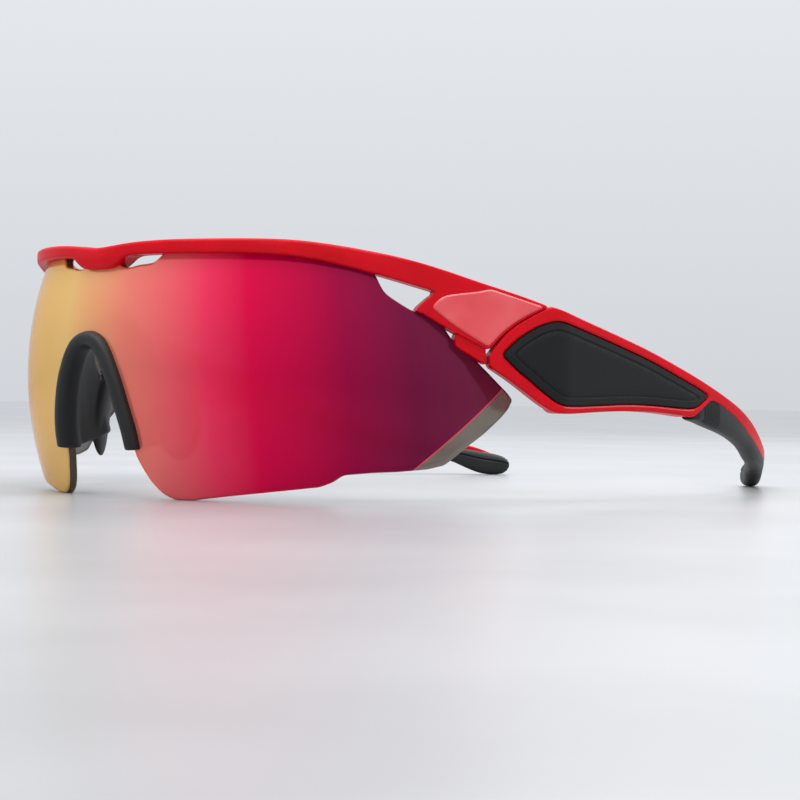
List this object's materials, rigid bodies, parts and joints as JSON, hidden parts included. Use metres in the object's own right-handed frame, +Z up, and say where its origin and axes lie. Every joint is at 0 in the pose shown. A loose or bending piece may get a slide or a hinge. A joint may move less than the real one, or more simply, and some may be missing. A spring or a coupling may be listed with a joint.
{
  "type": "wraparound sport sunglasses",
  "caption": "Wraparound shield sunglasses: one mirrored lens under a brow frame, soft nose piece, and temple arms that fold in on screw hinges.",
  "frame": {"origin": "middle of the footprint, on the surface the glasses stand on", "axes": "+Z up, the lens faces -Y, +Y towards the ear tips, +X towards the wearer's left"},
  "size_m": [0.1486, 0.1778, 0.0519],
  "materials": {
    "frame_red": "glossy injection-moulded nylon",
    "lens_mirror": "mirror-coated polycarbonate, gold to magenta",
    "soft_rubber": "matt thermoplastic rubber",
    "insert_rubber": "fine-grained rubber",
    "black_nylon": "satin nylon",
    "hinge_steel": "stamped stainless",
    "screw_steel": "bright stainless"
  },
  "bodies": {
    "front": {"brow_frame": "frame_red", "shield_lens": "lens_mirror", "nose_piece": "soft_rubber", "nose_core_wire": "screw_steel", "hinge_block_left": "black_nylon", "hinge_block_right": "black_nylon", "hinge_block_screw_left": "screw_steel", "hinge_block_screw_right": "screw_steel", "hinge_screw_left": "screw_steel", "hinge_screw_right": "screw_steel"},
    "temple_left": {"temple_arm_left": "frame_red", "temple_hinge_leaf_left": "hinge_steel", "leaf_screw_left": "screw_steel", "temple_insert_left": "insert_rubber", "temple_inner_cover_left": "black_nylon", "ear_tip_left": "soft_rubber", "ear_core_wire_left": "screw_steel"},
    "temple_right": {"temple_arm_right": "frame_red", "temple_hinge_leaf_right": "hinge_steel", "leaf_screw_right": "screw_steel", "temple_insert_right": "insert_rubber", "temple_inner_cover_right": "black_nylon", "ear_tip_right": "soft_rubber", "ear_core_wire_right": "screw_steel"}
  },
  "joints": [
    {"name": "left_temple_fold", "type": "hinge", "parent": "front", "child": "temple_left", "pos_m": [0.06539, -0.02487, 0.0342], "axis": [0, 0, 1], "range_deg": [0, 92]},
    {"name": "right_temple_fold", "type": "hinge", "parent": "front", "child": "temple_right", "pos_m": [-0.06539, -0.02487, 0.0342], "axis": [0, 0, -1], "range_deg": [0, 82]}
  ]
}
